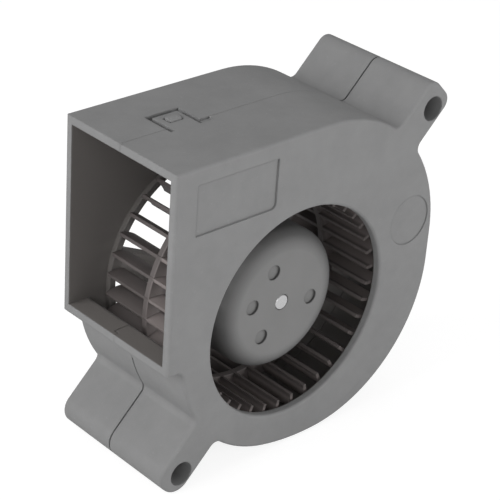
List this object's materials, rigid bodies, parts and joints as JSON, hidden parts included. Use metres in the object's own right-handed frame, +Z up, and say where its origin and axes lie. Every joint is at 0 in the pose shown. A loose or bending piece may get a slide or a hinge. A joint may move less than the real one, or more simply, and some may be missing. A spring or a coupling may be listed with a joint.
{
  "type": "dc blower fan",
  "caption": "Double-inlet centrifugal blower: two-shell plastic scroll with slanted mounting ears, rectangular outlet and forward-curved squirrel-cage wheel.",
  "frame": {"origin": "where the spin axis crosses the outer face of the front inlet", "axes": "+Y along the spin axis from the front face to the rear, +X away from the outlet, +Z up; the outlet faces -X"},
  "size_m": [0.0621, 0.028, 0.0624],
  "materials": {
    "housing_plastic": "moulded grey plastic, fine texture",
    "impeller_plastic": "moulded grey plastic, smooth",
    "shaft_steel": "ground steel",
    "bearing_steel": "polished bearing steel",
    "yoke_steel": "drawn steel, zinc plated",
    "brass": "turned brass",
    "magnet": "bonded ferrite, dull black",
    "laminations": "stacked silicon steel",
    "insulator_plastic": "natural nylon",
    "copper_wire": "enamelled copper wire",
    "cage_plastic": "nylon cage",
    "board": "circuit board with green mask",
    "chip_plastic": "black moulding",
    "ceramic": "ceramic capacitor body",
    "spring_steel": "spring steel",
    "plug_rubber": "black rubber plug"
  },
  "bodies": {
    "housing": {"front_cover": "housing_plastic", "rear_housing": "housing_plastic", "bearing_tube": "brass", "tube_plug": "plug_rubber", "front_bearing_outer_ring": "bearing_steel", "front_bearing_shields": "bearing_steel", "rear_bearing_outer_ring": "bearing_steel", "rear_bearing_shields": "bearing_steel", "stator_core": "laminations", "front_insulator": "insulator_plastic", "rear_insulator": "insulator_plastic", "coil_1": "copper_wire", "coil_2": "copper_wire", "coil_3": "copper_wire", "coil_4": "copper_wire", "winding_pins": "bearing_steel", "circuit_board": "board", "driver_chip": "chip_plastic", "capacitor": "ceramic", "diode": "chip_plastic", "resistors": "chip_plastic", "hall_sensor": "chip_plastic"},
    "rotor": {"impeller": "impeller_plastic", "rotor_yoke": "yoke_steel", "rotor_magnet": "magnet", "shaft_bushing": "brass", "shaft": "shaft_steel", "spring_washer": "spring_steel", "thrust_washer": "spring_steel", "retaining_ring": "spring_steel", "front_bearing_inner_ring": "bearing_steel", "rear_bearing_inner_ring": "bearing_steel"},
    "front_ball_set": {"front_bearing_balls": "bearing_steel", "front_bearing_cage": "cage_plastic"},
    "rear_ball_set": {"rear_bearing_balls": "bearing_steel", "rear_bearing_cage": "cage_plastic"}
  },
  "joints": [
    {"name": "rotor_spin", "type": "hinge", "parent": "housing", "child": "rotor", "pos_m": [0, 0, 0], "axis": [0, -1, 0], "continuous": true},
    {"name": "front_balls_orbit", "type": "hinge", "parent": "housing", "child": "front_ball_set", "pos_m": [0, 0, 0], "axis": [0, -1, 0], "continuous": true},
    {"name": "rear_balls_orbit", "type": "hinge", "parent": "housing", "child": "rear_ball_set", "pos_m": [0, 0, 0], "axis": [0, -1, 0], "continuous": true}
  ],
  "couplings": [
    {"joint": "front_balls_orbit", "follows": "rotor_spin", "ratio": 0.381},
    {"joint": "rear_balls_orbit", "follows": "rotor_spin", "ratio": 0.381}
  ]
}
